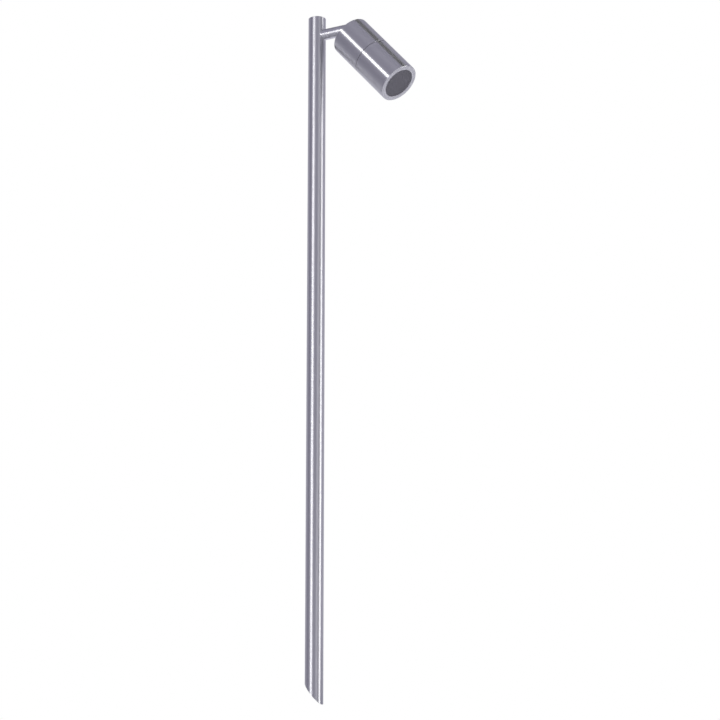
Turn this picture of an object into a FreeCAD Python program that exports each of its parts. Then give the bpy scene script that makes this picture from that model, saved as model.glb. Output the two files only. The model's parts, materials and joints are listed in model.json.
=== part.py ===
import FreeCAD, Part
import math
import os
import re
import Sketcher
from FreeCAD import Placement, Rotation, Vector

# A stainless pole spotlight for a garden: a tube pushed into the soil by its slanted foot, a short
# swivelling arm near its top, and a round lamp head that tilts on a knuckle at the arm's end.
#
# Millimetres, +Z up. The origin is on the pole's axis at the soil line, and the arm points along +X.
# Four frames place the pieces, each with its own Z axis along the piece it serves:
#   pole   the pole's axis, heights counted from the soil line
#   arm    the arm's axis, distances counted from the pole's axis
#   head   the head's axis, distances counted forward from the tilt pivot
#   pivot  the tilt axis, distances counted from the arm's middle plane towards +Y

SIZES = {
    # pole
    "pole_above_soil": 750.0,
    "stake_depth": 250.0,
    "pole_diameter": 25.4,
    "pole_wall": 1.5,
    "foot_cut_height": 31.5,
    "edge_chamfer": 0.4,
    "seam_chamfer": 0.2,
    # plug in the pole's top
    "cap_head": 1.5,
    "cap_spigot": 8.0,
    "cap_wall": 2.6,
    "cap_clearance": 0.05,
    "cap_ring_height": 744.1,
    "cap_ring_section": 1.1,
    "cap_ring_slot": 1.8,
    # supply entry in the pole's foot
    "grommet_base": -170.0,
    "grommet_length": 20.0,
    "grommet_bore": 6.8,
    "grommet_rib": 3.0,
    "rib_depth": 0.8,
    "connector_diameter": 14.0,
    "connector_length": 30.0,
    "connector_socket": 5.0,
    "socket_depth": 10.0,
    # arm
    "arm_height": 723.0,
    "arm_diameter": 16.0,
    "boss_end": 22.5,
    "seam_gap": 0.2,
    "pivot_reach": 47.5,
    "saddle_clearance": 0.03,
    # swivel inside the arm
    "stem_diameter": 10.0,
    "stem_bore": 4.2,
    "stem_start": 4.5,
    "stem_end": 31.0,
    "running_clearance": 0.05,
    "press_clearance": 0.02,
    "washer_face": 8.0,
    "washer_diameter": 14.0,
    "clip_start": 6.2,
    "clip_thickness": 0.8,
    "clip_diameter": 14.0,
    "clip_groove": 0.6,
    "clip_mouth": 6.8,
    "spring_thickness": 0.5,
    "stem_ring_start": 17.5,
    "stem_ring_width": 1.2,
    "stem_ring_floor": 0.8,
    "stop_radius": 6.5,
    "stop_diameter": 1.5,
    "stop_start": 19.5,
    "stop_reach": 1.5,
    "stop_slack": 8.0,
    # tilting knuckle
    "tilt_down": 48.0,
    "lap_gap": 0.1,
    "lap_shoulder": 8.2,
    "cavity_diameter": 10.8,
    "cavity_depth": 4.8,
    "lap_ring_radius": 6.8,
    "lap_ring_groove": 0.8,
    "lap_ring_section": 0.9,
    "screw_diameter": 4.0,
    "screw_seat": 6.4,
    "screw_seat_diameter": 8.8,
    "screw_washer": 0.5,
    "screw_washer_diameter": 8.0,
    "screw_head": 1.8,
    "screw_head_diameter": 7.0,
    "screw_key": 2.5,
    "screw_key_depth": 1.2,
    "screw_tip": 7.4,
    # leads
    "lead_diameter": 1.4,
    "lead_offset": 0.8,
    "lead_rise": 3.5,
    "lead_bend": 7.5,
    "knuckle_bend": 3.0,
    "channel_start": 16.5,
    "channel_end": 4.9,
    "channel_slant": 19.0,
    "channel_diameter": 3.8,
    "over_screw": 4.3,
    "under_screw": 3.3,
    "lead_turn": 4.9,
    # head
    "head_diameter": 60.0,
    "head_rear": 14.5,
    "head_seam": 68.8,
    "head_seam_gap": 0.8,
    "head_front": 132.5,
    "rear_wall": 4.0,
    "rear_bore": 52.0,
    "thread_diameter": 55.8,
    "thread_end": 81.0,
    "thread_start": 73.5,
    "thread_pitch": 1.5,
    "thread_depth": 0.4,
    "barrel_bore": 56.0,
    "barrel_ring_start": 70.5,
    "barrel_ring_width": 1.4,
    "barrel_ring_depth": 1.0,
    "spigot_end": 26.5,
    "stub_ring_radius": 6.6,
    "stub_ring_width": 1.4,
    "stub_ring_depth": 0.8,
    "nut_washer": 1.0,
    "nut_washer_diameter": 18.0,
    "nut_height": 5.0,
    "nut_width": 16.0,
    # lamp and its holder
    "bracket_thickness": 1.2,
    "bracket_width": 12.0,
    "bracket_half_length": 24.0,
    "bracket_leg": 12.5,
    "bracket_top": 44.5,
    "bracket_screw_offset": 19.0,
    "bracket_screw_diameter": 3.0,
    "bracket_screw_depth": 3.0,
    "bracket_screw_head": 1.8,
    "bracket_screw_head_diameter": 5.5,
    "bracket_lead_hole": 5.0,
    "holder_diameter": 19.0,
    "holder_front": 56.5,
    "holder_screw_offset": 7.0,
    "holder_screw_diameter": 2.5,
    "holder_screw_depth": 6.0,
    "holder_screw_head": 1.3,
    "holder_screw_head_diameter": 4.4,
    "lead_entry_depth": 3.0,
    "pin_spacing": 5.33,
    "pin_diameter": 1.5,
    "pin_length": 6.5,
    "lamp_rear": 57.0,
    "lamp_neck_end": 66.0,
    "lamp_neck_diameter": 18.0,
    "lamp_flare_end": 93.0,
    "lamp_front": 98.5,
    "lamp_diameter": 50.0,
    "lamp_cup_floor": 72.0,
    "lamp_cup_bottom": 14.0,
    "lamp_cup_mouth": 42.0,
    "fin_slot_width": 1.6,
    "fin_slot_start": 69.0,
    "fin_slot_end": 91.0,
    "fin_slot_inner": 16.0,
    "fin_slot_outer": 41.0,
    "lens_seat": 1.5,
    "lens_diameter": 47.4,
    "lens_thickness": 1.8,
    # front glass
    "opening_diameter": 46.5,
    "lip_thickness": 2.5,
    "gasket_thickness": 0.8,
    "gasket_bore": 47.2,
    "glass_clearance": 0.15,
    "glass_thickness": 4.0,
    "glass_recess": 0.05,
    "glass_flange": 55.6,
    "retainer_bore": 49.0,
    "retainer_thickness": 4.0,
    "retainer_notch": 3.0,
    "retainer_notch_depth": 1.5,
}

GROMMET_RIBS = 3
THREAD_TURNS = 5
FIN_SLOTS = 20
# Like pieces that come in pairs, such as leads and small screws, with the side that each is on.
PAIR = {"a": 1, "b": -1}

ALIAS = re.compile(r"[a-z_]+")
SHEET = "sizes"

doc = FreeCAD.newDocument("pole_spotlight")


# ---- the sheet and formulas ----

def make_sheet():
    """Driving dimensions: column A names each size, column B holds it under its alias."""
    sheet = doc.addObject("Spreadsheet::Sheet", SHEET)
    for row, (alias, size) in enumerate(SIZES.items(), start=1):
        sheet.set(f"A{row}", alias.replace("_", " "))
        sheet.set(f"B{row}", str(size))
        sheet.setAlias(f"B{row}", alias)
    doc.recompute()
    return sheet


def formula(text):
    """The formula with the sheet's name before each alias."""
    return ALIAS.sub(lambda word: f"{SHEET}.{word[0]}" if word[0] in SIZES else word[0], str(text))


def bind(piece, **formulas):
    """Drive properties of a piece by formulas in the sheet's aliases."""
    for name, text in formulas.items():
        piece.setExpression(name, formula(text))


# ---- frames ----

FRAMES = {
    "arm": (Vector(0, 1, 0), "90", {"z": "arm_height"}),
    "head": (Vector(0, 1, 0), "90 + tilt_down", {"x": "pivot_reach", "z": "arm_height"}),
    "pivot": (Vector(-1, 0, 0), "90", {"x": "pivot_reach", "z": "arm_height"}),
}


def place(piece, frame):
    """Put a finished piece into one of the frames; the pole's frame is the document's own."""
    if frame == "pole":
        piece.Placement = Placement()
        return
    axis, turn, base = FRAMES[frame]
    piece.Placement = Placement(Vector(), Rotation(axis, 1))
    piece.setExpression("Placement.Rotation.Angle", formula(turn))
    for direction, text in base.items():
        piece.setExpression(f"Placement.Base.{direction}", formula(text))


# ---- sketches ----

def new_body(label, frame):
    body = doc.addObject("PartDesign::Body", label)
    place(body, frame)
    return body


def new_sketch(body, plane, lift="0"):
    """A sketch on one of the body's origin planes, lifted along the plane's normal."""
    sketch = body.newObject("Sketcher::SketchObject", f"{body.Label}_sketch")
    origin_plane = next(item for item in body.Origin.OriginFeatures if item.Role == plane)
    sketch.AttachmentSupport = (origin_plane, [""])
    sketch.MapMode = "FlatFace"
    sketch.setExpression("AttachmentOffset.Base.z", formula(lift))
    return sketch


def pin_point(sketch, geometry, point, x, y):
    """Hold one sketch point at formula distances from the sketch's two axes."""
    for kind, axis, text in (("DistanceX", -2, x), ("DistanceY", -1, y)):
        if str(text) == "0":
            sketch.addConstraint(Sketcher.Constraint("PointOnObject", geometry, point, axis))
            continue
        held = sketch.addConstraint(Sketcher.Constraint(kind, -1, 1, geometry, point, 1.0))
        sketch.setExpression(f"Constraints[{held}]", formula(text))


def draw_outline(sketch, points):
    """A closed outline of straight edges with a corner at each pair of formulas."""
    count = len(points)
    turns = [math.tau * i / count for i in range(count)]
    rough = [Vector(math.cos(turn), math.sin(turn), 0) for turn in turns]
    first = sketch.GeometryCount
    for i in range(count):
        sketch.addGeometry(Part.LineSegment(rough[i], rough[(i + 1) % count]))
    for i in range(count):
        sketch.addConstraint(Sketcher.Constraint("Coincident", first + i, 2, first + (i + 1) % count, 1))
    for i, (x, y) in enumerate(points):
        pin_point(sketch, first + i, 1, x, y)


def draw_box(sketch, x_low, x_high, y_low, y_high):
    draw_outline(sketch, [(x_low, y_low), (x_high, y_low), (x_high, y_high), (x_low, y_high)])


def draw_circle(sketch, x, y, diameter):
    circle = sketch.addGeometry(Part.Circle(Vector(1, 1, 0), Vector(0, 0, 1), 1))
    pin_point(sketch, circle, 3, x, y)
    held = sketch.addConstraint(Sketcher.Constraint("Diameter", circle, 1.0))
    sketch.setExpression(f"Constraints[{held}]", formula(diameter))


def draw_hexagon(sketch, width):
    reach = f"{width} / sqrt(3)"
    angles = range(0, 360, 60)
    draw_outline(sketch, [(f"{reach} * cos({angle})", f"{reach} * sin({angle})") for angle in angles])


# ---- features ----

def turn(label, frame, points):
    """A body turned about its own Z axis from an outline of radii and distances along the axis."""
    body = new_body(label, frame)
    sketch = new_sketch(body, "XZ_Plane")
    draw_outline(sketch, points)
    revolution = body.newObject("PartDesign::Revolution", f"{label}_turned")
    revolution.Profile = sketch
    revolution.ReferenceAxis = (sketch, ["V_Axis"])
    revolution.Angle = 360
    doc.recompute()
    return body


def pad(body, sketch, length, symmetric=False):
    feature = body.newObject("PartDesign::Pad", f"{body.Label}_pad")
    feature.Profile = sketch
    if symmetric:
        feature.SideType = "Symmetric"
    bind(feature, Length=length)
    doc.recompute()
    return feature


def pocket(body, sketch, depth, along_normal=False, symmetric=False):
    """Cut a sketch into the body, against the sketch's normal unless told otherwise."""
    feature = body.newObject("PartDesign::Pocket", f"{body.Label}_pocket")
    feature.Profile = sketch
    feature.Reversed = along_normal
    if symmetric:
        feature.SideType = "Symmetric"
    bind(feature, Length=depth)
    doc.recompute()
    return feature


def groove(body, sketch, axis, angle="360"):
    """Cut a sketch turned about one of its axes, shared evenly to both sides of the sketch."""
    feature = body.newObject("PartDesign::Groove", f"{body.Label}_groove")
    feature.Profile = sketch
    feature.ReferenceAxis = (sketch, [axis])
    feature.Midplane = True
    bind(feature, Angle=angle)
    doc.recompute()
    return feature


def ring(label, frame, distance, radius, section):
    """A rubber ring of round section, its middle at a distance along the frame's axis."""
    torus = doc.addObject("Part::Torus", label)
    bind(torus, Radius1=radius, Radius2=f"({section}) / 2")
    place(torus, frame)
    if frame == "pole":
        torus.setExpression("Placement.Base.z", formula(distance))
        return torus
    lift_along_axis(torus, frame, distance)
    return torus


def lift_along_axis(piece, frame, distance):
    """Move a placed piece along its frame's axis."""
    steps = {
        "arm": {"x": f"{distance}"},
        "head": {"x": f"({distance}) * cos(tilt_down)", "z": f"0 - ({distance}) * sin(tilt_down)"},
        "pivot": {"y": f"{distance}"},
    }
    base = FRAMES[frame][2]
    for direction, step in steps[frame].items():
        start = base.get(direction, "0")
        piece.setExpression(f"Placement.Base.{direction}", formula(f"{start} + {step}"))


def group(label, frame, pieces):
    """Loose solids of one kind that share a sub-part."""
    compound = doc.addObject("Part::Compound", label)
    compound.Links = pieces
    place(compound, frame)
    return compound


def screw(name, x, seat, tip, diameter, head, head_diameter):
    """A pan-head screw along the frame's axis: its head beyond the seat, its shank to the tip."""
    shank = doc.addObject("Part::Cylinder", f"{name}_shank")
    bind(shank, Radius=f"{diameter} / 2 - press_clearance", Height=f"abs(({seat}) - ({tip}))")
    shank.setExpression("Placement.Base.x", formula(x))
    shank.setExpression("Placement.Base.z", formula(f"min({seat}; {tip})"))
    top = doc.addObject("Part::Cylinder", f"{name}_head")
    bind(top, Radius=f"{head_diameter} / 2", Height=head)
    top.setExpression("Placement.Base.x", formula(x))
    top.setExpression("Placement.Base.z", formula(f"({seat} > {tip}) ? ({seat}) : ({seat}) - {head}"))
    whole = doc.addObject("Part::Fuse", name)
    whole.Base = shank
    whole.Tool = top
    return whole


# ---- pole ----

TUBE_END = "pole_above_soil - cap_head"
POLE_BORE = "pole_diameter - 2 * pole_wall"


def pole_tube():
    bore = f"({POLE_BORE}) / 2"
    wall = [(bore, "-stake_depth"), ("pole_diameter / 2", "-stake_depth"),
            ("pole_diameter / 2", TUBE_END), (bore, TUBE_END)]
    body = turn("pole_tube", "pole", wall)
    # The foot is sawn off at a slant, its point on the arm's side.
    foot = new_sketch(body, "XZ_Plane")
    draw_outline(foot, [("pole_diameter", "-stake_depth - foot_cut_height / 2"),
                        ("-pole_diameter", "-stake_depth + foot_cut_height * 3 / 2"),
                        ("-pole_diameter", "-stake_depth - foot_cut_height / 2")])
    pocket(body, foot, "2 * pole_diameter", symmetric=True)
    stem_hole = new_sketch(body, "YZ_Plane")
    draw_circle(stem_hole, "0", "arm_height", "stem_diameter + 2 * running_clearance")
    pocket(body, stem_hole, "pole_diameter", along_normal=True)
    return body


def top_cap():
    outside = "pole_diameter / 2"
    spigot = f"({POLE_BORE}) / 2 - cap_clearance"
    floor = f"({POLE_BORE}) / 2 - cap_ring_section - cap_clearance"
    bore = f"{spigot} - cap_wall"
    ring_low = "cap_ring_height - cap_ring_slot / 2"
    ring_high = "cap_ring_height + cap_ring_slot / 2"
    spigot_end = f"{TUBE_END} - cap_spigot"
    return turn("top_cap", "pole", [
        ("0", "pole_above_soil"), (f"{outside} - edge_chamfer", "pole_above_soil"),
        (outside, "pole_above_soil - edge_chamfer"), (outside, TUBE_END), (spigot, TUBE_END),
        (spigot, ring_high), (floor, ring_high), (floor, ring_low), (spigot, ring_low),
        (spigot, spigot_end), (bore, spigot_end), (bore, f"{TUBE_END} - cap_head"),
        ("0", f"{TUBE_END} - cap_head")])


def top_cap_oring():
    radius = f"({POLE_BORE}) / 2 - cap_clearance / 2 - cap_ring_section / 2"
    return ring("top_cap_oring", "pole", "cap_ring_height", radius, "cap_ring_section - cap_clearance")


def cable_grommet():
    """A rubber bung with sealing ribs, bored for the supply cable."""
    bore = "grommet_bore / 2"
    crest = f"({POLE_BORE}) / 2 - press_clearance"
    root = f"{crest} - rib_depth"
    top = "grommet_base + grommet_length"
    points = [(bore, "grommet_base")]
    for rib in range(GROMMET_RIBS):
        low = f"grommet_base + (grommet_length - grommet_rib) * {rib} / {GROMMET_RIBS - 1}"
        points += [(crest, low), (crest, f"{low} + grommet_rib")]
        if rib < GROMMET_RIBS - 1:
            points.append((root, f"{low} + grommet_rib"))
            points.append((root, f"{low} + (grommet_length - grommet_rib) / {GROMMET_RIBS - 1}"))
    points.append((bore, top))
    return turn("cable_grommet", "pole", points)


CONNECTOR_BASE = "grommet_base + grommet_length"
CONNECTOR_TOP = f"{CONNECTOR_BASE} + connector_length"
LEAD_HOLE = "lead_diameter + 2 * press_clearance"


def lead_connector():
    """The sealed joint between the supply cable and the pole's two leads."""
    outside = "connector_diameter / 2"
    body = turn("lead_connector", "pole", [
        ("connector_socket / 2", CONNECTOR_BASE), (f"{outside} - edge_chamfer", CONNECTOR_BASE),
        (outside, f"{CONNECTOR_BASE} + edge_chamfer"), (outside, f"{CONNECTOR_TOP} - edge_chamfer"),
        (f"{outside} - edge_chamfer", CONNECTOR_TOP), ("0", CONNECTOR_TOP),
        ("0", f"{CONNECTOR_BASE} + socket_depth"),
        ("connector_socket / 2", f"{CONNECTOR_BASE} + socket_depth")])
    entries = new_sketch(body, "XY_Plane", CONNECTOR_TOP)
    for side in PAIR.values():
        draw_circle(entries, f"-lead_rise - {side} * lead_offset", "0", LEAD_HOLE)
    pocket(body, entries, "lead_entry_depth")
    return body


def arm_boss():
    """The fixed spacer between pole and arm, hollowed to sit on the pole's round side."""
    outside = "arm_diameter / 2"
    bore = "stem_diameter / 2 + running_clearance"
    body = turn("arm_boss", "arm", [
        (bore, "washer_face"), (outside, "washer_face"), (outside, "boss_end - seam_chamfer"),
        (f"{outside} - seam_chamfer", "boss_end"), (bore, "boss_end")])
    saddle = new_sketch(body, "XZ_Plane")
    draw_box(saddle, "-arm_diameter", "arm_diameter", "0", "pole_diameter / 2 + saddle_clearance")
    groove(body, saddle, "H_Axis")
    pin_hole = new_sketch(body, "XY_Plane", "boss_end")
    draw_circle(pin_hole, "-stop_radius", "0", "stop_diameter + 2 * press_clearance")
    pocket(body, pin_hole, "boss_end - stop_start")
    return body


def stop_pin():
    """The pin in the boss that ends the arm's swivel both ways."""
    pin = doc.addObject("Part::Cylinder", "stop_pin")
    bind(pin, Radius="stop_diameter / 2", Height="boss_end + seam_gap + stop_reach - stop_start")
    place(pin, "arm")
    lift_along_axis(pin, "arm", "stop_start")
    pin.setExpression("Placement.Base.z", formula("arm_height + stop_radius"))
    return pin


def saddle_washer():
    """A washer inside the pole, round on the wall's side and flat on the spring's side."""
    bore = "stem_diameter / 2 + running_clearance"
    wall = f"({POLE_BORE}) / 2 - saddle_clearance"
    body = turn("saddle_washer", "arm", [
        (bore, "washer_face"), ("washer_diameter / 2", "washer_face"),
        ("washer_diameter / 2", "pole_diameter / 2"), (bore, "pole_diameter / 2")])
    outer_side = new_sketch(body, "XZ_Plane")
    draw_box(outer_side, "-washer_diameter", "washer_diameter", wall, "pole_diameter")
    groove(body, outer_side, "H_Axis")
    return body


# ---- arm ----

def arm_bar():
    """The turning part of the arm, with one half of the knuckle at its end."""
    outside = "arm_diameter / 2"
    start = "boss_end + seam_gap"
    end = f"pivot_reach + {outside}"
    stem_hole = "stem_diameter / 2 + press_clearance"
    bore_end = "pivot_reach - channel_start + stem_bore / 2"
    body = turn("arm_bar", "arm", [
        (stem_hole, start), (f"{outside} - seam_chamfer", start), (outside, f"{start} + seam_chamfer"),
        (outside, end), ("0", end), ("0", bore_end), ("stem_bore / 2", bore_end),
        ("stem_bore / 2", "stem_end"), (stem_hole, "stem_end")])
    cut_knuckle(body, "pivot_reach", forward=1, side=-1)
    thread = new_sketch(body, "XZ_Plane")
    draw_circle(thread, "0", "pivot_reach", "screw_diameter")
    pocket(body, thread, "arm_diameter", along_normal=True)
    # The stop pin runs in an arc-shaped slot in the end face.
    slot = new_sketch(body, "XZ_Plane")
    half_width = "(stop_diameter / 2 + seam_chamfer)"
    draw_box(slot, f"-stop_radius - {half_width}", f"-stop_radius + {half_width}",
             "boss_end", f"{start} + stop_reach + seam_gap")
    groove(body, slot, "V_Axis", "180 + 2 * stop_slack")
    return body


def cut_knuckle(body, pivot, forward, side):
    """Shape a bar's end as half of the knuckle.

    The tongue keeps the side of the middle plane given by side, and its end is round about the
    pivot. A hollow round the pivot and a slanted channel let the leads pass beside the screw.
    """
    near = f"{pivot} - {forward} * lap_shoulder"
    far = f"{pivot} + {forward} * arm_diameter"
    lap = new_sketch(body, "XZ_Plane", f"-{side} * lap_gap")
    draw_box(lap, "-arm_diameter", "arm_diameter", near, far)
    pocket(body, lap, "arm_diameter", along_normal=side > 0)

    end = new_sketch(body, "YZ_Plane")
    draw_box(end, "-arm_diameter", "arm_diameter", f"{pivot} + {forward} * arm_diameter / 2", far)
    axis = end.addGeometry(Part.LineSegment(Vector(0, 0, 0), Vector(1, 0, 0)), True)
    pin_point(end, axis, 1, "-arm_diameter", pivot)
    pin_point(end, axis, 2, "arm_diameter", pivot)
    groove(body, end, "Axis0", "180")

    hollow = new_sketch(body, "XZ_Plane")
    draw_circle(hollow, "0", pivot, "cavity_diameter")
    pocket(body, hollow, "cavity_depth", along_normal=side < 0)

    # The channel's half section: two corners on its slanted axis, two on its wall.
    channel = new_sketch(body, "YZ_Plane")
    rise = "(channel_start - channel_end) * tan(channel_slant)"
    across = "channel_diameter / 2 * cos(channel_slant)"
    along = "channel_diameter / 2 * sin(channel_slant)"
    start = f"{pivot} - {forward} * channel_start"
    stop = f"{pivot} - {forward} * channel_end"
    draw_outline(channel, [
        ("0", start), (f"{side} * {rise}", stop),
        (f"{side} * ({rise} + {across})", f"{stop} - {forward} * {along}"),
        (f"{side} * {across}", f"{start} - {forward} * {along}")])
    groove(body, channel, "Edge1")


def swivel_stem():
    """The hollow shaft fixed in the arm that turns in the boss and carries the leads."""
    outside = "stem_diameter / 2"
    bore = "stem_bore / 2"
    clip_end = "clip_start + clip_thickness + running_clearance"
    clip_floor = f"{outside} - clip_groove"
    ring_end = "stem_ring_start + stem_ring_width"
    ring_floor = f"{outside} - stem_ring_floor"
    return turn("swivel_stem", "arm", [
        (bore, "stem_start"), (f"{outside} - edge_chamfer", "stem_start"),
        (outside, "stem_start + edge_chamfer"), (outside, "clip_start - running_clearance"),
        (clip_floor, "clip_start - running_clearance"), (clip_floor, clip_end), (outside, clip_end),
        (outside, "stem_ring_start"), (ring_floor, "stem_ring_start"), (ring_floor, ring_end),
        (outside, ring_end), (outside, "stem_end"), (bore, "stem_end")])


def spring_washer():
    """A conical spring that loads the swivel between clip and saddle washer."""
    inner = "stem_diameter / 2 + seam_gap"
    outer = "washer_diameter / 2 - seam_gap"
    low = "clip_start + clip_thickness + press_clearance"
    high = "washer_face - press_clearance"
    return turn("spring_washer", "arm", [
        (inner, low), (inner, f"{low} + spring_thickness"),
        (outer, high), (outer, f"{high} - spring_thickness")])


def stem_clip():
    """The retaining clip in the stem's groove, open on one side."""
    end = "clip_start + clip_thickness"
    bore = "stem_diameter / 2 - clip_groove + press_clearance"
    body = turn("stem_clip", "arm", [
        (bore, "clip_start"), ("clip_diameter / 2", "clip_start"), ("clip_diameter / 2", end), (bore, end)])
    mouth = new_sketch(body, "XY_Plane", end)
    draw_box(mouth, "0", "clip_diameter", "-clip_mouth / 2", "clip_mouth / 2")
    pocket(body, mouth, "2 * clip_thickness")
    return body


def swivel_oring():
    floor = "stem_diameter / 2 - stem_ring_floor"
    section = "stem_ring_floor"
    return ring("swivel_oring", "arm", "stem_ring_start + stem_ring_width / 2",
                f"{floor} + {section} / 2 + press_clearance", section)


def knuckle_oring():
    """The face seal between the knuckle's halves, in a groove of the head's half."""
    distance = "lap_gap + lap_ring_groove - lap_ring_section / 2 - press_clearance"
    return ring("knuckle_oring", "pivot", distance, "lap_ring_radius", "lap_ring_section")


# ---- knuckle and rear of the head ----

def knuckle_stub():
    """The head's half of the knuckle, with the threaded spigot that holds the head."""
    outside = "arm_diameter / 2"
    spigot = "stem_diameter / 2"
    bore = "stem_bore / 2"
    ring_in = "stub_ring_radius - stub_ring_width / 2"
    ring_out = "stub_ring_radius + stub_ring_width / 2"
    ring_floor = "head_rear - stub_ring_depth"
    body = turn("knuckle_stub", "head", [
        ("0", f"-{outside}"), (outside, f"-{outside}"), (outside, "head_rear"), (ring_out, "head_rear"),
        (ring_out, ring_floor), (ring_in, ring_floor), (ring_in, "head_rear"), (spigot, "head_rear"),
        (spigot, "spigot_end - edge_chamfer"), (f"{spigot} - edge_chamfer", "spigot_end"),
        (bore, "spigot_end"), (bore, "channel_start - stem_bore / 2"),
        ("0", "channel_start - stem_bore / 2")])
    cut_knuckle(body, "0", forward=-1, side=1)
    # The screw's head and washer sink into a flat seat.
    seat = new_sketch(body, "XZ_Plane", "-arm_diameter")
    draw_circle(seat, "0", "0", "screw_seat_diameter")
    pocket(body, seat, "arm_diameter - screw_seat", along_normal=True)
    hole = new_sketch(body, "XZ_Plane")
    draw_circle(hole, "0", "0", "screw_diameter + 2 * running_clearance")
    pocket(body, hole, "arm_diameter")
    ring_groove = new_sketch(body, "XZ_Plane")
    for way in (1, -1):
        draw_circle(ring_groove, "0", "0", f"2 * lap_ring_radius + {way} * (lap_ring_section + lap_gap)")
    pocket(body, ring_groove, "lap_gap + lap_ring_groove")
    return body


def pivot_screw():
    """The screw that the head tilts about, threaded into the arm's half of the knuckle."""
    seat = "screw_seat + screw_washer"
    top = f"{seat} + screw_head"
    head = "screw_head_diameter / 2"
    shank = "screw_diameter / 2"
    thread = f"{shank} - press_clearance"
    body = turn("pivot_screw", "pivot", [
        ("0", "-screw_tip"), (f"{thread} - edge_chamfer", "-screw_tip"),
        (thread, "-screw_tip + edge_chamfer"), (thread, "0"), (shank, "0"), (shank, seat), (head, seat),
        (head, f"{top} - edge_chamfer"), (f"{head} - edge_chamfer", top), ("0", top)])
    key = new_sketch(body, "XY_Plane", top)
    draw_hexagon(key, "screw_key")
    pocket(body, key, "screw_key_depth")
    return body


def pivot_washer():
    bore = "screw_diameter / 2 + running_clearance"
    outside = "screw_washer_diameter / 2"
    low = "screw_seat + press_clearance"
    high = "screw_seat + screw_washer"
    return turn("pivot_washer", "pivot", [(bore, low), (outside, low), (outside, high), (bore, high)])


def stub_oring():
    section = "stub_ring_depth - 2 * press_clearance"
    return ring("stub_oring", "head", "head_rear - stub_ring_depth / 2", "stub_ring_radius", section)


def rear_body():
    """The head's rear can with its threaded spigot, turned from solid bar."""
    outside = "head_diameter / 2"
    inside = "rear_bore / 2"
    hole = "stem_diameter / 2 + press_clearance"
    crest = "thread_diameter / 2"
    root = f"{crest} - thread_depth"
    ring_floor = "barrel_bore / 2 - barrel_ring_depth"
    ring_end = "barrel_ring_start + barrel_ring_width"
    points = [(hole, "head_rear"), (f"{outside} - edge_chamfer", "head_rear"),
              (outside, "head_rear + edge_chamfer"), (outside, "head_seam - seam_chamfer"),
              (f"{outside} - seam_chamfer", "head_seam"),
              (crest, "head_seam"), (crest, "barrel_ring_start"), (ring_floor, "barrel_ring_start"),
              (ring_floor, ring_end), (crest, ring_end)]
    for coil in range(THREAD_TURNS):
        low = f"thread_start + {coil} * thread_pitch"
        points += [(crest, low), (root, f"{low} + thread_depth"),
                   (root, f"{low} + thread_pitch / 2"), (crest, f"{low} + thread_pitch / 2 + thread_depth")]
    points += [(crest, "thread_end"), (inside, "thread_end"), (inside, "head_rear + rear_wall"),
               (hole, "head_rear + rear_wall")]
    body = turn("rear_body", "head", points)
    screw_holes = new_sketch(body, "XY_Plane", "head_rear + rear_wall")
    for way in (1, -1):
        draw_circle(screw_holes, f"{way} * bracket_screw_offset", "0", "bracket_screw_diameter")
    pocket(body, screw_holes, "bracket_screw_depth")
    return body


INNER_FACE = "head_rear + rear_wall"


def stub_washer():
    bore = "stem_diameter / 2 + seam_gap"
    outside = "nut_washer_diameter / 2"
    high = f"{INNER_FACE} + nut_washer"
    return turn("stub_washer", "head", [
        (bore, INNER_FACE), (outside, INNER_FACE), (outside, high), (bore, high)])


def stub_nut():
    body = new_body("stub_nut", "head")
    hexagon = new_sketch(body, "XY_Plane", f"{INNER_FACE} + nut_washer")
    draw_hexagon(hexagon, "nut_width")
    draw_circle(hexagon, "0", "0", "stem_diameter + 2 * press_clearance")
    pad(body, hexagon, "nut_height")
    return body


# ---- lamp and holder ----

def lampholder_bracket():
    """A bent strap that stands on the rear wall and carries the lampholder over the nut."""
    body = new_body("lampholder_bracket", "head")
    inner = "bracket_leg"
    outer = "bracket_leg + bracket_thickness"
    foot = f"{INNER_FACE} + bracket_thickness"
    under = "bracket_top - bracket_thickness"
    half = [("bracket_half_length", INNER_FACE), ("bracket_half_length", foot), (outer, foot),
            (outer, "bracket_top")]
    inside = [(inner, under), (inner, INNER_FACE)]
    mirrored = [(f"-({x})", z) for x, z in half]
    strap = new_sketch(body, "XZ_Plane")
    draw_outline(strap, half + mirrored[::-1] + [(f"-({x})", z) for x, z in inside[::-1]] + inside)
    pad(body, strap, "bracket_width", symmetric=True)
    holes = new_sketch(body, "XY_Plane", "bracket_top")
    draw_circle(holes, "0", "0", "bracket_lead_hole")
    for way in (1, -1):
        draw_circle(holes, f"{way} * holder_screw_offset", "0", "holder_screw_diameter + seam_gap")
        draw_circle(holes, f"{way} * bracket_screw_offset", "0", "bracket_screw_diameter + seam_gap")
    pocket(body, holes, "bracket_top")
    return body


def bracket_screws():
    seat = f"{INNER_FACE} + bracket_thickness"
    tip = f"{INNER_FACE} - bracket_screw_depth + seam_gap"
    pair = [screw(f"bracket_screw_{name}", f"{way} * bracket_screw_offset", seat, tip,
                  "bracket_screw_diameter", "bracket_screw_head", "bracket_screw_head_diameter")
            for name, way in PAIR.items()]
    return group("bracket_screws", "head", pair)


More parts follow.
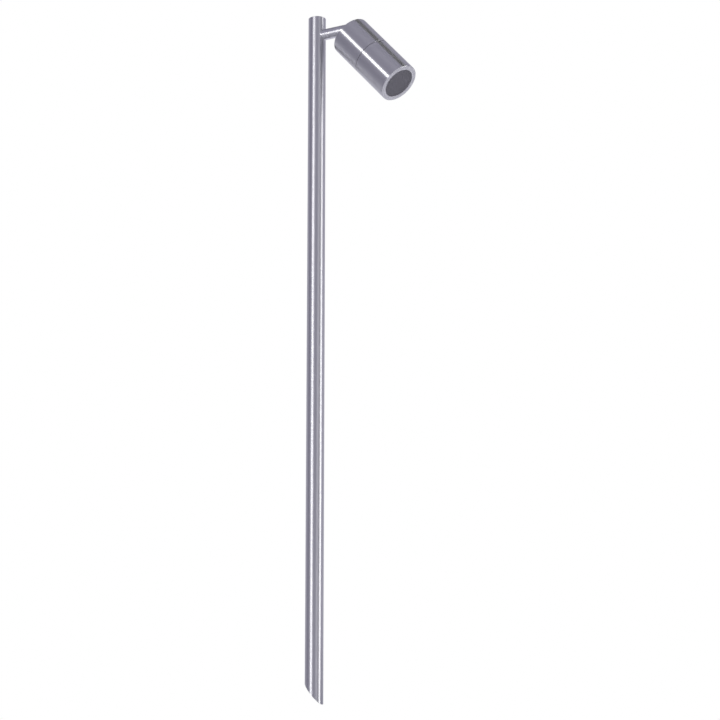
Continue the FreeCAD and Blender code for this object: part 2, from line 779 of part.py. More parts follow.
def lampholder():
    """The ceramic two-pin holder."""
    outside = "holder_diameter / 2"
    body = turn("lampholder", "head", [
        ("0", "bracket_top"), (outside, "bracket_top"), (outside, "holder_front - edge_chamfer"),
        (f"{outside} - edge_chamfer", "holder_front"), ("0", "holder_front")])
    sockets = new_sketch(body, "XY_Plane", "holder_front")
    rear_holes = new_sketch(body, "XY_Plane", "bracket_top")
    lead_holes = new_sketch(body, "XY_Plane", "bracket_top")
    for way in (1, -1):
        draw_circle(sockets, "0", f"{way} * pin_spacing / 2", "pin_diameter + seam_gap")
        draw_circle(rear_holes, f"{way} * holder_screw_offset", "0", "holder_screw_diameter")
        draw_circle(lead_holes, f"{way} * lead_offset", "0", LEAD_HOLE)
    pocket(body, sockets, "pin_length + seam_gap")
    pocket(body, rear_holes, "holder_screw_depth", along_normal=True)
    pocket(body, lead_holes, "lead_entry_depth", along_normal=True)
    return body


def holder_screws():
    seat = "bracket_top - bracket_thickness"
    tip = "bracket_top + holder_screw_depth - seam_gap"
    pair = [screw(f"holder_screw_{name}", f"{way} * holder_screw_offset", seat, tip,
                  "holder_screw_diameter", "holder_screw_head", "holder_screw_head_diameter")
            for name, way in PAIR.items()]
    return group("holder_screws", "head", pair)


def lamp_body():
    """The plug-in reflector lamp's finned metal cup."""
    neck = "lamp_neck_diameter / 2"
    rim = "lamp_diameter / 2"
    mouth = "lamp_cup_mouth / 2"
    seat = "lamp_front - lens_seat"
    lens = "lens_diameter / 2 + running_clearance"
    body = turn("lamp_body", "head", [
        ("0", "lamp_rear"), (f"{neck} - edge_chamfer", "lamp_rear"), (neck, "lamp_rear + edge_chamfer"),
        (neck, "lamp_neck_end"), (rim, "lamp_flare_end"), (rim, "lamp_front - edge_chamfer"),
        (f"{rim} - edge_chamfer", "lamp_front"), (lens, "lamp_front"), (lens, seat), (mouth, seat),
        ("lamp_cup_bottom / 2", "lamp_cup_floor"), ("0", "lamp_cup_floor")])
    slot = new_sketch(body, "XZ_Plane")
    draw_outline(slot, [("fin_slot_inner / 2", "fin_slot_start"), ("lamp_diameter", "fin_slot_start"),
                        ("lamp_diameter", "fin_slot_end"), ("fin_slot_outer / 2", "fin_slot_end")])
    cut = pocket(body, slot, "fin_slot_width", symmetric=True)
    fins = body.newObject("PartDesign::PolarPattern", "lamp_body_fins")
    fins.Originals = [cut]
    fins.Axis = (slot, ["V_Axis"])
    fins.Angle = 360
    fins.Occurrences = FIN_SLOTS
    body.Tip = fins
    doc.recompute()
    return body


def lamp_lens():
    outside = "lens_diameter / 2"
    low = "lamp_front - lens_seat"
    high = f"{low} + lens_thickness"
    return turn("lamp_lens", "head", [
        ("0", low), (outside, low), (outside, f"{high} - edge_chamfer"),
        (f"{outside} - edge_chamfer", high), ("0", high)])


def lamp_pins():
    pins = []
    for name, way in PAIR.items():
        pin = doc.addObject("Part::Cylinder", f"lamp_pin_{name}")
        bind(pin, Radius="pin_diameter / 2", Height="pin_length + lamp_rear - holder_front")
        pin.setExpression("Placement.Base.y", formula(f"{way} * pin_spacing / 2"))
        pin.setExpression("Placement.Base.z", formula("holder_front - pin_length"))
        pins.append(pin)
    return group("lamp_pins", "head", pins)


def barrel_oring():
    """The seal between the rear can's spigot and the front barrel."""
    floor = "barrel_bore / 2 - barrel_ring_depth"
    section = "barrel_ring_depth - 2 * press_clearance"
    return ring("barrel_oring", "head", "barrel_ring_start + barrel_ring_width / 2",
                f"{floor} + barrel_ring_depth / 2", section)


# ---- front barrel ----

LIP_FACE = "head_front - lip_thickness"


def front_barrel():
    """The screw-on front tube, with a flat lip round the glass."""
    outside = "head_diameter / 2"
    inside = "barrel_bore / 2"
    opening = "opening_diameter / 2"
    start = "head_seam + head_seam_gap"
    return turn("front_barrel", "head", [
        (inside, start), (f"{outside} - seam_chamfer", start), (outside, f"{start} + seam_chamfer"),
        (outside, "head_front - edge_chamfer"), (f"{outside} - edge_chamfer", "head_front"),
        (opening, "head_front"), (opening, LIP_FACE), (inside, LIP_FACE)])


GLASS_SEAT = f"{LIP_FACE} - gasket_thickness"
GLASS_REAR = f"{GLASS_SEAT} - glass_thickness"


def glass_gasket():
    outside = "glass_flange / 2"
    bore = "gasket_bore / 2"
    return turn("glass_gasket", "head", [
        (bore, GLASS_SEAT), (outside, GLASS_SEAT), (outside, LIP_FACE), (bore, LIP_FACE)])


def front_glass():
    """Stepped glass: a flange behind the lip and a face almost flush with the rim."""
    flange = "glass_flange / 2"
    face = "opening_diameter / 2 - glass_clearance"
    front = "head_front - glass_recess"
    return turn("front_glass", "head", [
        ("0", GLASS_REAR), (flange, GLASS_REAR), (flange, GLASS_SEAT), (face, GLASS_SEAT),
        (face, f"{front} - seam_chamfer"), (f"{face} - seam_chamfer", front), ("0", front)])


def glass_retainer():
    """The ring that presses the glass on its gasket, with two notches for a spanner."""
    outside = "barrel_bore / 2 - press_clearance"
    bore = "retainer_bore / 2"
    low = f"{GLASS_REAR} - retainer_thickness"
    body = turn("glass_retainer", "head", [
        (bore, low), (outside, low), (outside, GLASS_REAR), (bore, GLASS_REAR)])
    notch = new_sketch(body, "XZ_Plane")
    draw_box(notch, "-barrel_bore", "barrel_bore", low, f"{low} + retainer_notch_depth")
    pocket(body, notch, "retainer_notch", symmetric=True)
    return body


# ---- leads ----

def size(alias):
    return float(sheet.get(alias))


def bent_lead(points, bends):
    """A round lead along straight runs joined by tangent arcs, one bend radius for each inner point."""
    edges = []
    start = points[0]
    for before, corner, after, bend in zip(points, points[1:], points[2:], bends):
        arriving = (corner - before).normalize()
        leaving = (after - corner).normalize()
        half_turn = arriving.getAngle(leaving) / 2
        reach = bend * math.tan(half_turn)
        inward = (leaving - arriving).normalize()
        arc_start = corner - arriving * reach
        arc_end = corner + leaving * reach
        arc_middle = corner + inward * bend * (1 / math.cos(half_turn) - 1)
        edges.append(Part.LineSegment(start, arc_start).toShape())
        edges.append(Part.Arc(arc_start, arc_middle, arc_end).toShape())
        start = arc_end
    edges.append(Part.LineSegment(start, points[-1]).toShape())
    path = Part.Wire(edges)
    section = Part.Wire(Part.makeCircle(size("lead_diameter") / 2, points[0], points[1] - points[0]))
    return path.makePipeShell([section], True, False)


def add_lead(label, shape, base):
    feature = doc.addObject("Part::Feature", label)
    feature.Shape = shape
    feature.Placement = Placement(base, Rotation())
    return feature


def pole_lead(name, side):
    """From the connector straight up the pole, then round into the arm's stem."""
    rise = -size("lead_rise") - side * size("lead_offset")
    bottom = (size("grommet_base") + size("grommet_length") + size("connector_length")
              - size("lead_entry_depth") - size("arm_height"))
    level = side * size("lead_offset")
    end = size("stem_start") - size("running_clearance")
    bend = size("lead_bend") + side * size("lead_offset")
    shape = bent_lead([Vector(rise, 0, bottom), Vector(rise, 0, level), Vector(end, 0, level)], [bend])
    return add_lead(f"pole_lead_{name}", shape, Vector(0, 0, size("arm_height")))


def knuckle_route(axis, up, tongue, side, far_end):
    """A lead from the knuckle's middle plane, beside the screw, along the channel and the bore."""
    half_tilt = math.radians(size("tilt_down") / 2)
    past_screw = size("over_screw") if side > 0 else -size("under_screw")
    crossing = up * past_screw * math.cos(half_tilt) - axis * past_screw * math.sin(half_tilt)
    offset = up * side * size("lead_offset")
    bore_start = axis * size("channel_start") + offset
    run = size("channel_start") - size("lead_turn")
    slope = math.tan(math.radians(size("channel_slant")))
    in_channel = axis * (size("channel_start") - run) + tongue * run * slope + offset
    over_plane = crossing + (crossing - in_channel).normalize() * size("lead_diameter")
    route = [axis * far_end + offset, bore_start, in_channel, over_plane]
    shape = bent_lead(route, [size("lead_bend"), size("knuckle_bend")])
    # The lead ends in the knuckle's middle plane, where the other half's lead goes on.
    reach = size("arm_diameter")
    other_half = Part.makeBox(reach, reach, reach, Vector(-reach / 2, 0, -reach / 2))
    other_half.translate(-tongue * (reach / 2 - size("lap_gap") / 2) - Vector(0, reach / 2, 0))
    near_knuckle = Part.makeSphere(reach / 2)
    return shape.cut(other_half.common(near_knuckle))


def arm_lead(name, side):
    """From the stem's inner end to the knuckle's middle plane."""
    far_end = size("pivot_reach") - size("stem_start") - size("running_clearance")
    shape = knuckle_route(Vector(-1, 0, 0), Vector(0, 0, 1), Vector(0, -1, 0), side, far_end)
    return add_lead(f"arm_lead_{name}", shape, Vector(size("pivot_reach"), 0, size("arm_height")))


def head_lead(name, side):
    """From the knuckle's middle plane to the lampholder."""
    tilt = math.radians(size("tilt_down"))
    axis = Vector(math.cos(tilt), 0, -math.sin(tilt))
    up = Vector(math.sin(tilt), 0, math.cos(tilt))
    far_end = size("bracket_top") + size("lead_entry_depth") - size("running_clearance")
    shape = knuckle_route(axis, up, Vector(0, 1, 0), side, far_end)
    return add_lead(f"head_lead_{name}", shape, Vector(size("pivot_reach"), 0, size("arm_height")))


# ---- the whole lamp ----

def build():
    pieces = [make() for make in (
        pole_tube, top_cap, top_cap_oring, cable_grommet, lead_connector, arm_boss, stop_pin, saddle_washer,
        arm_bar, swivel_stem, spring_washer, stem_clip, swivel_oring, knuckle_oring,
        knuckle_stub, pivot_screw, pivot_washer, stub_oring, rear_body, stub_washer, stub_nut,
        lampholder_bracket, bracket_screws, lampholder, holder_screws, lamp_body, lamp_lens, lamp_pins,
        barrel_oring, front_barrel, glass_gasket, front_glass, glass_retainer)]
    for make in (pole_lead, arm_lead, head_lead):
        pieces += [make(name, side) for name, side in PAIR.items()]
    return pieces


def check(pieces):
    """Stop if a feature failed, a cut removed nothing or a finished piece isn't sound."""
    doc.recompute()
    for item in doc.Objects:
        if "Invalid" in item.State or "Error" in item.State:
            raise RuntimeError(f"{item.Label} failed: {item.State}")
        if item.TypeId in ("PartDesign::Pocket", "PartDesign::Groove"):
            if item.Shape.Volume > item.BaseFeature.Shape.Volume - 1e-3:
                raise RuntimeError(f"{item.Label} cuts nothing")
    for piece in pieces:
        if piece.Shape.isNull() or not piece.Shape.isValid() or not piece.Shape.Solids:
            raise RuntimeError(f"{piece.Label} is not a sound solid")


sheet = make_sheet()
finished = build()
check(finished)
os.makedirs("parts", exist_ok=True)
for piece in finished:
    piece.Shape.exportStep(f"parts/{piece.Label}.step")
    print(f"{piece.Label}: {len(piece.Shape.Solids)} solid(s), {piece.Shape.Volume / 1000:.3f} cm3")
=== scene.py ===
import json
import math

import bpy
from mathutils import Euler, Matrix, Vector


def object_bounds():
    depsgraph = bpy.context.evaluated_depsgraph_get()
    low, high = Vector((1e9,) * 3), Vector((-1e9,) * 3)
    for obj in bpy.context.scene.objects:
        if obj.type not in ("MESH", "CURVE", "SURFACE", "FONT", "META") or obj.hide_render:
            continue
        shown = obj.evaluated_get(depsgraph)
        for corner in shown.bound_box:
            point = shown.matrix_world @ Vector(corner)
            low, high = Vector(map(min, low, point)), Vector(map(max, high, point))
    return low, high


# The looks of a stainless garden spotlight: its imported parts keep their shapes, and get their
# metals, glass, rubber, ceramic and plastic here, with a studio, a camera and a floor around them.
#
# Metres. +Z is up, +X points along the arm, and the pole's axis is the Z axis.

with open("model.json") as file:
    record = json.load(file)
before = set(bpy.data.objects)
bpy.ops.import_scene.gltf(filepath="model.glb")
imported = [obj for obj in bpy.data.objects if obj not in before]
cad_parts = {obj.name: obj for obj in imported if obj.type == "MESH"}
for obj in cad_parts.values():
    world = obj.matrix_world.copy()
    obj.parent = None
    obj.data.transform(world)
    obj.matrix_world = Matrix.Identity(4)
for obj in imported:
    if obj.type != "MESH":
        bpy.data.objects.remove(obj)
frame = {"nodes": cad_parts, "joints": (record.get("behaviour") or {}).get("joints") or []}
CAD_LOW, CAD_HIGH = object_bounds()
NODES = frame["nodes"]

# ---- places taken from the frame ----

JOINTS = {joint["name"]: joint for joint in frame["joints"]}
PIVOT = Vector(JOINTS["head_tilt"]["pos_m"])
HEAD_AXIS = Vector(JOINTS["front_barrel_off"]["axis"]).normalized()
FLOOR_HEIGHT = CAD_LOW.z

# A piece's axis is +Z turned about Y by one of these angles.
POLE_TURN = 0.0
ARM_TURN = math.pi / 2
HEAD_TURN = HEAD_AXIS.angle(Vector((0, 0, 1)))

# ---- camera ----

CAMERA_AZIMUTH = math.radians(30.86)
CAMERA_DISTANCE = 3.091
CAMERA_BELOW_FLOOR = 0.277
CAMERA_YAW = math.radians(1.165)
CAMERA_PITCH = math.radians(13.84)
CAMERA_LENS = 112.5
SENSOR_WIDTH = 36.0


def studio_direction(azimuth):
    """A level direction from the pole, its azimuth in degrees to the right of the camera's."""
    turn = CAMERA_AZIMUTH + math.radians(azimuth)
    return Vector((math.sin(turn), -math.cos(turn), 0.0))


def make_camera():
    data = bpy.data.cameras.new("camera")
    data.lens = CAMERA_LENS
    data.sensor_width = SENSOR_WIDTH
    camera = bpy.data.objects.new("camera", data)
    bpy.context.scene.collection.objects.link(camera)
    place = studio_direction(0) * CAMERA_DISTANCE
    camera.location = (place.x, place.y, FLOOR_HEIGHT - CAMERA_BELOW_FLOOR)
    camera.rotation_euler = Euler((math.pi / 2 + CAMERA_PITCH, 0, CAMERA_AZIMUTH - CAMERA_YAW))
    bpy.context.scene.camera = camera


# ---- node helpers ----

class Nodes:
    """A node tree under construction."""

    def __init__(self, tree):
        self.tree = tree
        self.tree.nodes.clear()

    def add(self, kind, **settings):
        node = self.tree.nodes.new(kind)
        for name, value in settings.items():
            setattr(node, name, value)
        return node

    def link(self, source, target):
        self.tree.links.new(source, target)

    def fill(self, node, values):
        """Give a node's first inputs their sockets or plain values."""
        for socket, value in zip(node.inputs, values):
            if isinstance(value, bpy.types.NodeSocket):
                self.link(value, socket)
            else:
                socket.default_value = value

    def math(self, operation, first, second=0.0):
        """A Math node whose inputs are sockets or numbers."""
        node = self.add("ShaderNodeMath", operation=operation)
        self.fill(node, (first, second))
        return node.outputs[0]

    def vector(self, operation, first, second, output="Vector"):
        """A Vector Math node whose inputs are sockets or vectors."""
        node = self.add("ShaderNodeVectorMath", operation=operation)
        self.fill(node, (first, second))
        return node.outputs[output]

    def scaled(self, vector, factor):
        """A vector socket multiplied by a number socket."""
        node = self.add("ShaderNodeVectorMath", operation="SCALE")
        self.link(vector, node.inputs[0])
        self.link(factor, node.inputs["Scale"])
        return node.outputs["Vector"]

    def carried(self, vector, kind, start, end):
        """A normal or a vector carried from one space into another."""
        node = self.add("ShaderNodeVectorTransform", vector_type=kind, convert_from=start, convert_to=end)
        self.link(vector, node.inputs["Vector"])
        return node.outputs["Vector"]

    def ramp(self, source, stops):
        """A colour ramp over a socket; each stop is a place and a colour."""
        node = self.add("ShaderNodeValToRGB")
        elements = node.color_ramp.elements
        while len(elements) > 1:
            elements.remove(elements[-1])
        for index, (place, colour) in enumerate(stops):
            element = elements[0] if index == 0 else elements.new(place)
            element.position = place
            element.color = (*colour, 1.0)
        self.link(source, node.inputs["Fac"])
        return node.outputs["Color"]

    def range(self, source, low, high, limits=(0.0, 1.0)):
        """A socket, from one limit to the other, spread between two numbers."""
        node = self.add("ShaderNodeMapRange")
        self.link(source, node.inputs["Value"])
        node.inputs["From Min"].default_value = limits[0]
        node.inputs["From Max"].default_value = limits[1]
        node.inputs["To Min"].default_value = low
        node.inputs["To Max"].default_value = high
        return node.outputs["Result"]

    def mix_shaders(self, factor, first, second):
        """The first shader where the factor is 0, and the second where it is 1."""
        node = self.add("ShaderNodeMixShader")
        self.fill(node, (factor, first, second))
        return node.outputs["Shader"]


def new_material(name):
    """A material with a Principled shader on its output, and its node tree."""
    material = bpy.data.materials.new(name)
    material.use_nodes = True
    nodes = Nodes(material.node_tree)
    output = nodes.add("ShaderNodeOutputMaterial")
    shader = nodes.add("ShaderNodeBsdfPrincipled")
    nodes.link(shader.outputs["BSDF"], output.inputs["Surface"])
    return material, nodes, shader


def piece_coordinates(nodes, base=Vector(), turn=0.0):
    """Object coordinates counted from a base point, with Z along an axis turned about Y from +Z."""
    coordinates = nodes.add("ShaderNodeTexCoord")
    mapping = nodes.add("ShaderNodeMapping", vector_type="POINT")
    back = Matrix.Rotation(-turn, 3, "Y")
    mapping.inputs["Location"].default_value = -(back @ base)
    mapping.inputs["Rotation"].default_value = (0.0, -turn, 0.0)
    nodes.link(coordinates.outputs["Object"], mapping.inputs["Vector"])
    return mapping.outputs["Vector"]


def noise(nodes, vector, scale, detail=3.0, roughness=0.5):
    node = nodes.add("ShaderNodeTexNoise")
    node.inputs["Scale"].default_value = scale
    node.inputs["Detail"].default_value = detail
    node.inputs["Roughness"].default_value = roughness
    nodes.link(vector, node.inputs["Vector"])
    return node.outputs["Fac"]


def bump(nodes, shader, height, distance, strength=1.0):
    node = nodes.add("ShaderNodeBump")
    node.inputs["Strength"].default_value = strength
    node.inputs["Distance"].default_value = distance
    nodes.link(height, node.inputs["Height"])
    nodes.link(node.outputs["Normal"], shader.inputs["Normal"])


def mixed(nodes, factor, first, second):
    """A colour between two colours, chosen by a socket."""
    node = nodes.add("ShaderNodeMix", data_type="RGBA")
    nodes.link(factor, node.inputs["Factor"])
    for socket, colour in ((node.inputs["A"], first), (node.inputs["B"], second)):
        socket.default_value = (*colour, 1.0)
    return node.outputs["Result"]


# ---- metals ----

SATIN = ((0.69, 0.69, 0.70), (0.72, 0.72, 0.73))
# The arm's stainless is a brighter polish, and its base colour is also raised as a painted highlight: it
# stands in for a broad whitish streak on the arm that the lights don't give it.
POLISH_AND_PAINTED_HIGHLIGHT = ((0.90, 0.90, 0.91), (0.94, 0.94, 0.95))

# How much the rings' pattern drifts on its way round a piece.
RING_DRIFT = 0.0004
# Turns the shader's stretch across the tangent, so that reflections run along the axis.
QUARTER_TURN = 0.25
# A face counts as lying across the axis when its normal leans this much along it.
FACE_LEAN = 0.8
NOISE_MIDDLE = (0.5, 0.5, 0.5)


def ring_coordinates(nodes, vector):
    """Coordinates for lathe marks: radius, place along the axis, and a slow drift round it."""
    parts = nodes.add("ShaderNodeSeparateXYZ")
    nodes.link(vector, parts.inputs["Vector"])
    x, y, z = (parts.outputs[name] for name in "XYZ")
    squares = nodes.math("ADD", nodes.math("MULTIPLY", x, x), nodes.math("MULTIPLY", y, y))
    angle = nodes.math("ABSOLUTE", nodes.math("ARCTAN2", y, x))
    joined = nodes.add("ShaderNodeCombineXYZ")
    nodes.link(nodes.math("SQRT", squares), joined.inputs["X"])
    nodes.link(z, joined.inputs["Y"])
    nodes.link(nodes.math("MULTIPLY", angle, RING_DRIFT), joined.inputs["Z"])
    return joined.outputs["Vector"]


def face_scatter(nodes, place, axis):
    """A random direction at each point of the faces across an axis, and zero elsewhere."""
    surface = nodes.add("ShaderNodeNewGeometry")
    normal = nodes.carried(surface.outputs["True Normal"], "NORMAL", "WORLD", "OBJECT")
    lean = nodes.vector("DOT_PRODUCT", normal, axis, output="Value")
    on_face = nodes.math("GREATER_THAN", nodes.math("ABSOLUTE", lean), FACE_LEAN)
    dust = nodes.add("ShaderNodeTexWhiteNoise")
    nodes.link(place, dust.inputs["Vector"])
    return nodes.scaled(nodes.vector("SUBTRACT", dust.outputs["Color"], NOISE_MIDDLE), on_face)


def brush(nodes, shader, base, turn, amount):
    """Grain round the axis through base, turned about Y from +Z, with no one way on its end faces."""
    axis = (math.sin(turn), 0.0, math.cos(turn))
    place = nodes.add("ShaderNodeTexCoord").outputs["Object"]
    around = nodes.vector("CROSS_PRODUCT", axis, nodes.vector("SUBTRACT", place, base))
    grain = nodes.vector("ADD", around, face_scatter(nodes, place, axis))
    nodes.link(nodes.carried(grain, "VECTOR", "OBJECT", "WORLD"), shader.inputs["Tangent"])
    shader.inputs["Anisotropic"].default_value = amount
    shader.inputs["Anisotropic Rotation"].default_value = QUARTER_TURN


def finish_metal(nodes, shader, grain, smudge, colours, roughness, bump_depth):
    """Shared look of the metals: grain in colour, roughness and bump, and faint handling marks."""
    shader.inputs["Metallic"].default_value = 1.0
    nodes.link(mixed(nodes, grain, *colours), shader.inputs["Base Color"])
    low, high = roughness
    fine = nodes.range(grain, low, (low + high) / 2)
    marks = nodes.range(smudge, 0.0, (high - low) / 2)
    nodes.link(nodes.math("ADD", fine, marks), shader.inputs["Roughness"])
    bump(nodes, shader, grain, bump_depth)


def brushed_steel(name, base, turn, colours=SATIN, roughness=(0.32, 0.36), amount=1.0):
    """Stainless brushed round an axis: fine rings, and reflections drawn out along the axis."""
    material, nodes, shader = new_material(name)
    place = piece_coordinates(nodes, base, turn)
    grain = noise(nodes, ring_coordinates(nodes, place), scale=5200.0, detail=4.0, roughness=0.65)
    smudge = noise(nodes, place, scale=30.0, detail=5.0)
    finish_metal(nodes, shader, grain, smudge, colours, roughness, bump_depth=0.000001)
    brush(nodes, shader, base, turn, amount)
    return material


def machined_steel():
    """Plain machined stainless for shafts, screws, nuts and washers."""
    material, nodes, shader = new_material("machined_stainless")
    place = piece_coordinates(nodes)
    grain = noise(nodes, place, scale=1800.0, detail=6.0, roughness=0.7)
    smudge = noise(nodes, place, scale=60.0)
    finish_metal(nodes, shader, grain, smudge, colours=((0.60, 0.60, 0.60), (0.72, 0.72, 0.71)),
                 roughness=(0.26, 0.40), bump_depth=0.00001)
    return material


def cast_aluminium():
    """Die-cast aluminium of the lamp's cup and the retaining ring."""
    material, nodes, shader = new_material("cast_aluminium")
    place = piece_coordinates(nodes)
    grain = noise(nodes, place, scale=900.0, detail=8.0, roughness=0.75)
    smudge = noise(nodes, place, scale=45.0, detail=4.0)
    finish_metal(nodes, shader, grain, smudge, colours=((0.68, 0.69, 0.71), (0.82, 0.83, 0.85)),
                 roughness=(0.34, 0.55), bump_depth=0.00003)
    return material


def plated_brass():
    """Nickel-plated brass of the lamp's pins, a little yellow where the plating is thin."""
    material, nodes, shader = new_material("plated_brass")
    place = piece_coordinates(nodes)
    grain = noise(nodes, place, scale=2400.0, detail=4.0)
    smudge = noise(nodes, place, scale=120.0)
    finish_metal(nodes, shader, grain, smudge, colours=((0.70, 0.62, 0.46), (0.82, 0.78, 0.68)),
                 roughness=(0.18, 0.34), bump_depth=0.000006)
    return material


# ---- glass ----

def etched_glass():
    """The front glass, etched matt, so that the lamp behind it doesn't show."""
    material, nodes, shader = new_material("etched_glass")
    place = piece_coordinates(nodes)
    frost = noise(nodes, place, scale=2600.0, detail=6.0, roughness=0.7)
    cloud = noise(nodes, place, scale=25.0, detail=4.0)
    nodes.link(mixed(nodes, cloud, (0.37, 0.36, 0.40), (0.41, 0.40, 0.44)), shader.inputs["Base Color"])
    nodes.link(nodes.range(frost, 0.30, 0.42), shader.inputs["Roughness"])
    shader.inputs["Transmission Weight"].default_value = 0.75
    shader.inputs["IOR"].default_value = 1.5
    bump(nodes, shader, frost, distance=0.00001, strength=0.6)
    return material


def lamp_glass():
    """The reflector lamp's pressed cover with its small dimples."""
    material, nodes, shader = new_material("lamp_glass")
    place = piece_coordinates(nodes, PIVOT, HEAD_TURN)
    cells = nodes.add("ShaderNodeTexVoronoi")
    cells.inputs["Scale"].default_value = 330.0
    nodes.link(place, cells.inputs["Vector"])
    tint = noise(nodes, place, scale=80.0)
    nodes.link(mixed(nodes, tint, (0.86, 0.89, 0.92), (0.95, 0.97, 0.98)), shader.inputs["Base Color"])
    nodes.link(nodes.range(tint, 0.06, 0.14), shader.inputs["Roughness"])
    shader.inputs["Transmission Weight"].default_value = 0.9
    shader.inputs["IOR"].default_value = 1.47
    bump(nodes, shader, cells.outputs["Distance"], distance=0.0006)
    return material


# ---- rubber, plastic, ceramic ----

# The grain is this many times finer than the mottling of the colour.
GRAIN_TO_MOTTLE = 20


def dull_material(name, colours, roughness, grain_scale, bump_depth):
    """A non-metal with a mottled colour, uneven gloss and a fine skin."""
    material, nodes, shader = new_material(name)
    place = piece_coordinates(nodes)
    grain = noise(nodes, place, grain_scale, detail=6.0, roughness=0.65)
    mottle = noise(nodes, place, grain_scale / GRAIN_TO_MOTTLE)
    nodes.link(mixed(nodes, mottle, *colours), shader.inputs["Base Color"])
    nodes.link(nodes.range(grain, *roughness), shader.inputs["Roughness"])
    bump(nodes, shader, grain, bump_depth)
    return material


def black_rubber():
    return dull_material("black_rubber", colours=((0.014, 0.014, 0.014), (0.028, 0.027, 0.026)),
                         roughness=(0.55, 0.8), grain_scale=1400.0, bump_depth=0.00002)


def black_nylon():
    return dull_material("black_nylon", colours=((0.02, 0.02, 0.022), (0.035, 0.035, 0.037)),
                         roughness=(0.4, 0.6), grain_scale=1100.0, bump_depth=0.000015)


def glazed_ceramic():
    return dull_material("glazed_ceramic", colours=((0.80, 0.77, 0.70), (0.88, 0.86, 0.80)),
                         roughness=(0.12, 0.3), grain_scale=500.0, bump_depth=0.00001)


def silicone():
    return dull_material("silicone", colours=((0.30, 0.03, 0.025), (0.42, 0.05, 0.04)),
                         roughness=(0.42, 0.6), grain_scale=900.0, bump_depth=0.00001)


# ---- studio: the room ----

def grey(level):
    """A lavender grey: a neutral level with a little more blue."""
    return (level + 0.01, level, level + 0.085)


# The room's brightness from the backdrop's side (0) to the camera's side (1).
ROOM = [(0.0, grey(0.48)), (0.12, grey(0.46)), (0.28, grey(0.38)), (0.38, grey(0.36)), (0.46, grey(0.20)),
        (0.52, grey(0.20)), (0.60, grey(0.28)), (0.70, grey(0.36)), (0.85, grey(0.36)), (1.0, grey(0.38))]

# A dark slot in the upper room, which the head mirrors as a line. The share says where on the head
# the line lies. Half width: dark within the first number, and bright beyond the second. Height:
# bright below the first number, and dark above the second.
SLOT_SHARE = 0.75
SLOT_HALF_WIDTH = (0.10, 0.15)
SLOT_HEIGHT = (0.12, 0.22)


def mirrored_arc(share):
    """The room directions that a line along the head mirrors to the camera, whatever the metal's
    spread along the head. The line lies a share of the head's radius to the right of its middle.
    The directions have one dot product with a vector: the vector and the product are returned."""
    view = (bpy.context.scene.camera.location - PIVOT).normalized()
    front = (view - HEAD_AXIS * view.dot(HEAD_AXIS)).normalized()
    right = front.cross(HEAD_AXIS)
    normal = right * share + front * math.sqrt(1 - share * share)
    around = normal.cross(HEAD_AXIS)
    return around, -view.dot(around)


def slot_brightness(nodes, direction):
    """0 in the dark slot, and 1 beside it and below it."""
    slot_vector, slot_place = mirrored_arc(SLOT_SHARE)
    across = nodes.vector("DOT_PRODUCT", direction, slot_vector, output="Value")
    offset = nodes.math("ABSOLUTE", nodes.math("SUBTRACT", across, slot_place))
    parts = nodes.add("ShaderNodeSeparateXYZ")
    nodes.link(direction, parts.inputs["Vector"])
    beside = nodes.range(offset, 0.0, 1.0, SLOT_HALF_WIDTH)
    below = nodes.range(parts.outputs["Z"], 1.0, 0.0, SLOT_HEIGHT)
    return nodes.math("MAXIMUM", beside, below)


def world_light():
    """A white backdrop to the camera, and a soft lavender-grey room to everything else."""
    world = bpy.data.worlds.new("studio")
    bpy.context.scene.world = world
    world.use_nodes = True
    nodes = Nodes(world.node_tree)
    output = nodes.add("ShaderNodeOutputWorld")
    room = nodes.add("ShaderNodeBackground")
    backdrop = nodes.add("ShaderNodeBackground")
    backdrop.inputs["Color"].default_value = (1.0, 1.0, 1.0, 1.0)
    direction = nodes.add("ShaderNodeTexCoord").outputs["Generated"]
    # How far a direction leans towards the camera's side of the room, from -1 to 1.
    lean = nodes.vector("DOT_PRODUCT", direction, studio_direction(0), output="Value")
    nodes.link(nodes.ramp(nodes.range(lean, 0.0, 1.0, (-1.0, 1.0)), ROOM), room.inputs["Color"])
    nodes.link(slot_brightness(nodes, direction), room.inputs["Strength"])
    path = nodes.add("ShaderNodeLightPath")
    shown = nodes.mix_shaders(path.outputs["Is Camera Ray"], room.outputs["Background"],
                              backdrop.outputs["Background"])
    nodes.link(shown, output.inputs["Surface"])


# ---- studio: the lights ----

def softbox(name, azimuth, distance, height, width, length, roll, strength):
    """A rectangular light that faces the pole, its middle at a height above the floor."""
    data = bpy.data.lights.new(name, "AREA")
    data.shape = "RECTANGLE"
    data.size = width
    data.size_y = length
    data.energy = strength * width * length * math.pi
    light = bpy.data.objects.new(name, data)
    light.visible_camera = False
    bpy.context.scene.collection.objects.link(light)
    towards = studio_direction(azimuth)
    light.location = towards * distance + Vector((0, 0, FLOOR_HEIGHT + height))
    facing = towards.to_track_quat("Z", "Y")
    light.rotation_euler = (facing @ Euler((0, 0, math.radians(roll))).to_quaternion()).to_euler()


def make_lights():
    softbox("key_softbox", azimuth=-37.5, distance=3.0, height=0.82,
            width=2.45, length=0.45, roll=-49, strength=7.6)
    softbox("side_softbox", azimuth=74.5, distance=3.0, height=0.78,
            width=1.25, length=1.35, roll=0, strength=3.9)
    softbox("fill_softbox", azimuth=34, distance=3.0, height=0.78,
            width=1.5, length=1.35, roll=0, strength=0.8)


# ---- studio: the floor ----

FLOOR_RADIUS = 12.0
GLOW_COLOUR = (0.85, 0.85, 0.92, 1.0)
# The floor glows towards this azimuth, from none to all of GLOW between two distances.
GLOW_AZIMUTH = 170
GLOW_REACH = (0.0, 0.9)
GLOW = 0.5
# The least glow that the camera sees. It isn't there for the light that falls on the object.
SHOWN_GLOW = 0.4


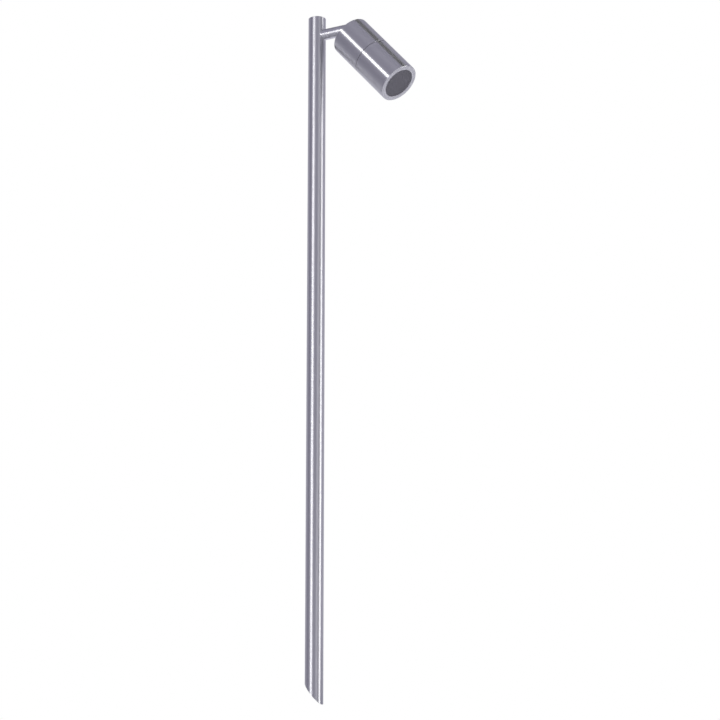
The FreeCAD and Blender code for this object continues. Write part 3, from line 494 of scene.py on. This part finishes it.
def floor_glow(nodes, shader):
    """Light of the floor's own, stronger behind the object."""
    place = nodes.add("ShaderNodeTexCoord").outputs["Object"]
    behind = nodes.vector("DOT_PRODUCT", place, studio_direction(GLOW_AZIMUTH), output="Value")
    glow = nodes.range(behind, 0.0, GLOW, GLOW_REACH)
    path = nodes.add("ShaderNodeLightPath")
    least_shown = nodes.math("MULTIPLY", path.outputs["Is Camera Ray"], SHOWN_GLOW)
    nodes.link(nodes.math("MAXIMUM", glow, least_shown), shader.inputs["Emission Strength"])
    shader.inputs["Emission Color"].default_value = GLOW_COLOUR


def clear_back(nodes, shader):
    """Make a surface see-through from its back."""
    output = next(node for node in nodes.tree.nodes if node.bl_idname == "ShaderNodeOutputMaterial")
    side = nodes.add("ShaderNodeNewGeometry")
    clear = nodes.add("ShaderNodeBsdfTransparent")
    both = nodes.mix_shaders(side.outputs["Backfacing"], shader.outputs["BSDF"], clear.outputs["BSDF"])
    nodes.link(both, output.inputs["Surface"])


def make_floor():
    """A pale round floor at the pole's foot, seen only from above."""
    bpy.ops.mesh.primitive_circle_add(vertices=96, radius=FLOOR_RADIUS, fill_type="NGON",
                                      location=(0, 0, FLOOR_HEIGHT))
    floor = bpy.context.object
    floor.name = "floor"
    material, nodes, shader = new_material("pale_floor")
    speckle = noise(nodes, piece_coordinates(nodes), scale=40.0, detail=6.0)
    nodes.link(mixed(nodes, speckle, (0.78, 0.78, 0.79), (0.82, 0.82, 0.83)), shader.inputs["Base Color"])
    shader.inputs["Roughness"].default_value = 0.8
    floor_glow(nodes, shader)
    clear_back(nodes, shader)
    # The glow isn't sampled as a lamp, which would add noise and time.
    material.cycles.emission_sampling = "NONE"
    floor.data.materials.append(material)


# ---- the object ----

def dress(material, *names):
    """Put one material on each named part."""
    for name in names:
        for slot in NODES[name].material_slots:
            slot.material = material


def dress_all():
    dress(brushed_steel("brushed_pole", Vector(), POLE_TURN, SATIN, roughness=(0.38, 0.42), amount=0.92),
          "pole_tube", "top_cap")
    # The arm's brighter base colour is partly a painted highlight, lifting its streak above what the
    # lights give.
    dress(brushed_steel("brushed_arm", PIVOT, ARM_TURN, POLISH_AND_PAINTED_HIGHLIGHT, roughness=(0.36, 0.42)),
          "arm_boss", "arm_bar")
    dress(brushed_steel("brushed_head", PIVOT, HEAD_TURN), "knuckle_stub", "rear_body", "front_barrel")
    dress(machined_steel(), "stop_pin", "saddle_washer", "swivel_stem", "spring_washer", "stem_clip",
          "pivot_screw", "pivot_washer", "stub_washer", "stub_nut", "lampholder_bracket", "bracket_screws",
          "holder_screws")
    dress(cast_aluminium(), "lamp_body", "glass_retainer")
    dress(plated_brass(), "lamp_pins")
    dress(etched_glass(), "front_glass")
    dress(lamp_glass(), "lamp_lens")
    dress(black_rubber(), "top_cap_oring", "cable_grommet", "swivel_oring", "knuckle_oring", "stub_oring",
          "barrel_oring", "glass_gasket")
    dress(black_nylon(), "lead_connector")
    dress(glazed_ceramic(), "lampholder")
    dress(silicone(), *(f"{part}_lead_{side}" for part in ("pole", "arm", "head") for side in "ab"))


bpy.context.scene.view_settings.view_transform = "Standard"
dress_all()
make_camera()
world_light()
make_lights()
make_floor()
